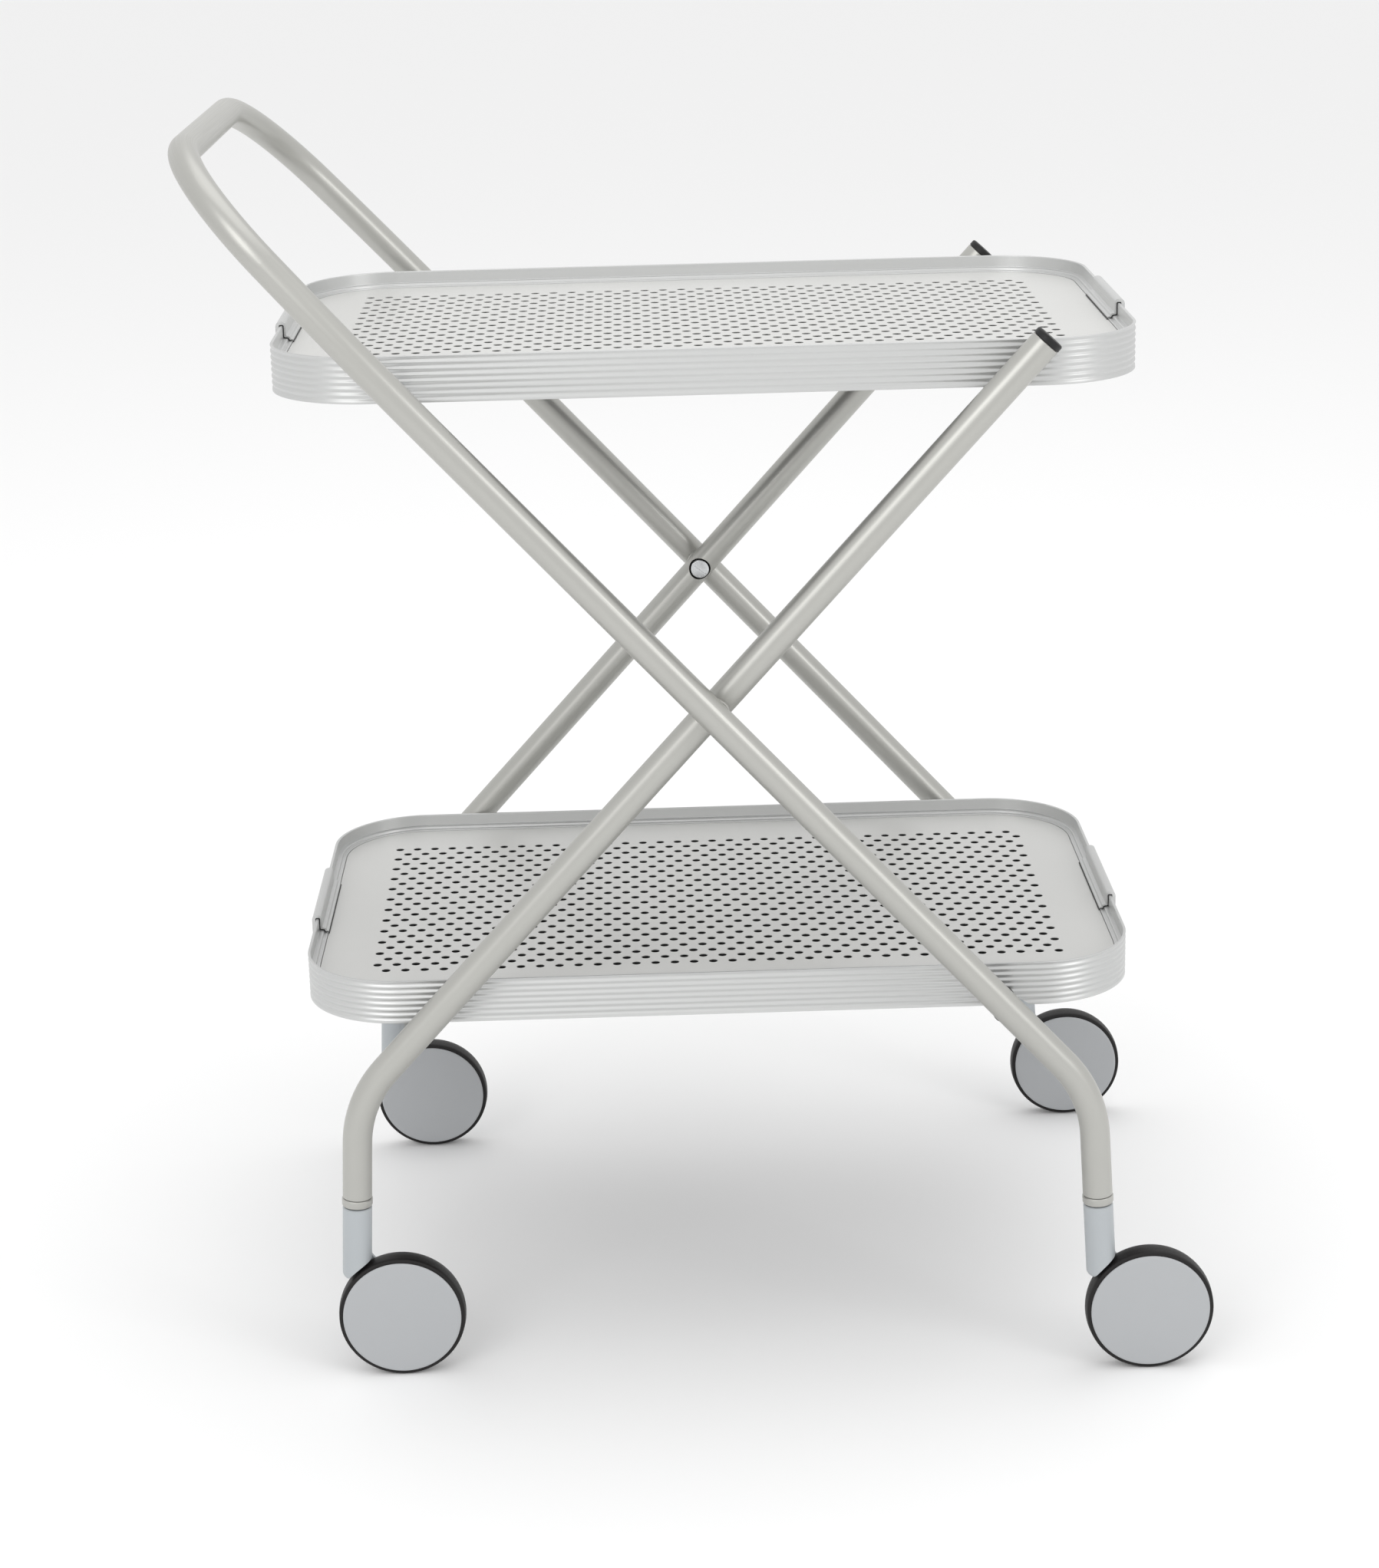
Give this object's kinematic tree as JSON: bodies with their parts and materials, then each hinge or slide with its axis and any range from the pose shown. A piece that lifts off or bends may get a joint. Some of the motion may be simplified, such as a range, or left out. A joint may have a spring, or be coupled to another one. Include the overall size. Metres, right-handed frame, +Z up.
{
  "type": "folding serving trolley",
  "caption": "Folding serving trolley: X-frame of bent round tube with a looped push handle, stacked lift-off trays with ribbed rims and perforated decks, on swivel castors with disc wheels.",
  "frame": {"origin": "centre of the bounding box at floor level, under the wheels", "axes": "+Z up, +X from the handle end towards the other end, +Y towards the rear side; the fold axis is parallel to Y"},
  "size_m": [0.602, 0.4168, 0.7536],
  "materials": {
    "frame_tube": "satin warm grey",
    "tray_rim": "satin anodised",
    "tray_deck": "satin anodised sheet",
    "steel": "zinc plated",
    "castor_plastic": "fine textured",
    "wheel_disc": "satin moulded",
    "tyre": "soft matt",
    "black_plastic": "textured"
  },
  "bodies": {
    "outer_frame": {"outer_frame_tube": "frame_tube", "outer_frame_rod_upper": "steel", "outer_frame_rod_lower": "steel", "rod_sleeve_lower_front": "black_plastic", "rod_sleeve_lower_rear": "black_plastic", "pivot_bolt_front": "steel", "pivot_bolt_rear": "steel", "pivot_spacer_front": "frame_tube", "pivot_spacer_rear": "frame_tube", "castor_socket_front_right": "frame_tube", "castor_socket_rear_right": "frame_tube"},
    "inner_frame": {"inner_frame_tube_front": "frame_tube", "inner_frame_tube_rear": "frame_tube", "end_plug_front": "black_plastic", "end_plug_rear": "black_plastic", "inner_frame_rod_upper": "steel", "inner_frame_rod_lower": "steel", "castor_socket_front_left": "frame_tube", "castor_socket_rear_left": "frame_tube"},
    "upper_tray": {"upper_tray_rim": "tray_rim", "upper_tray_deck": "tray_deck", "upper_tray_grip_left": "tray_rim", "upper_tray_grip_right": "tray_rim", "upper_tray_stop_front": "tray_rim", "upper_tray_stop_rear": "tray_rim"},
    "lower_tray": {"lower_tray_rim": "tray_rim", "lower_tray_deck": "tray_deck", "lower_tray_grip_left": "tray_rim", "lower_tray_grip_right": "tray_rim", "lower_tray_stop_front": "tray_rim", "lower_tray_stop_rear": "tray_rim"},
    "castor_front_left": {"castor_stem_front_left": "steel", "castor_housing_front_left": "castor_plastic", "castor_axle_front_left": "steel"},
    "wheel_front_left": {"wheel_hub_front_left": "castor_plastic", "wheel_tyre_front_left": "tyre", "wheel_disc_front_left": "wheel_disc"},
    "castor_rear_left": {"castor_stem_rear_left": "steel", "castor_housing_rear_left": "castor_plastic", "castor_axle_rear_left": "steel"},
    "wheel_rear_left": {"wheel_hub_rear_left": "castor_plastic", "wheel_tyre_rear_left": "tyre", "wheel_disc_rear_left": "wheel_disc"},
    "castor_front_right": {"castor_stem_front_right": "steel", "castor_housing_front_right": "castor_plastic", "castor_axle_front_right": "steel"},
    "wheel_front_right": {"wheel_hub_front_right": "castor_plastic", "wheel_tyre_front_right": "tyre", "wheel_disc_front_right": "wheel_disc"},
    "castor_rear_right": {"castor_stem_rear_right": "steel", "castor_housing_rear_right": "castor_plastic", "castor_axle_rear_right": "steel"},
    "wheel_rear_right": {"wheel_hub_rear_right": "castor_plastic", "wheel_tyre_rear_right": "tyre", "wheel_disc_rear_right": "wheel_disc"}
  },
  "joints": [
    {"name": "fold", "type": "hinge", "parent": "outer_frame", "child": "inner_frame", "pos_m": [0.00394, 0, 0.4223], "axis": [0, -1, 0], "range_deg": [0, 80]},
    {"name": "upper_tray_lift", "type": "slide", "parent": "outer_frame", "child": "upper_tray", "axis": [0, 0, 1], "range_m": [0, 0.285]},
    {"name": "lower_tray_draw", "type": "slide", "parent": "outer_frame", "child": "lower_tray", "axis": [-0.866, 0, 0.5], "range_m": [0, 0.66]},
    {"name": "swivel_front_left", "type": "hinge", "parent": "inner_frame", "child": "castor_front_left", "pos_m": [-0.22145, -0.1763, 0.11791], "axis": [0.0541, 0, 0.9985], "continuous": true},
    {"name": "roll_front_left", "type": "hinge", "parent": "castor_front_left", "child": "wheel_front_left", "pos_m": [-0.19747, -0.1763, 0.0393], "axis": [0, 1, 0], "continuous": true},
    {"name": "swivel_rear_left", "type": "hinge", "parent": "inner_frame", "child": "castor_rear_left", "pos_m": [-0.22145, 0.1763, 0.11791], "axis": [0.0541, 0, 0.9985], "continuous": true},
    {"name": "roll_rear_left", "type": "hinge", "parent": "castor_rear_left", "child": "wheel_rear_left", "pos_m": [-0.19747, 0.1763, 0.0393], "axis": [0, 1, 0], "continuous": true},
    {"name": "swivel_front_right", "type": "hinge", "parent": "outer_frame", "child": "castor_front_right", "pos_m": [0.22949, -0.199, 0.11486], "axis": [-0.0541, 0, 0.9985], "continuous": true},
    {"name": "roll_front_right", "type": "hinge", "parent": "castor_front_right", "child": "wheel_front_right", "pos_m": [0.26182, -0.199, 0.0393], "axis": [0, 1, 0], "continuous": true},
    {"name": "swivel_rear_right", "type": "hinge", "parent": "outer_frame", "child": "castor_rear_right", "pos_m": [0.22949, 0.199, 0.11486], "axis": [-0.0541, 0, 0.9985], "continuous": true},
    {"name": "roll_rear_right", "type": "hinge", "parent": "castor_rear_right", "child": "wheel_rear_right", "pos_m": [0.26182, 0.199, 0.0393], "axis": [0, 1, 0], "continuous": true}
  ],
  "couplings": [
    {"joint": "upper_tray_lift", "follows": "fold", "m_per_rad": 0.2}
  ]
}
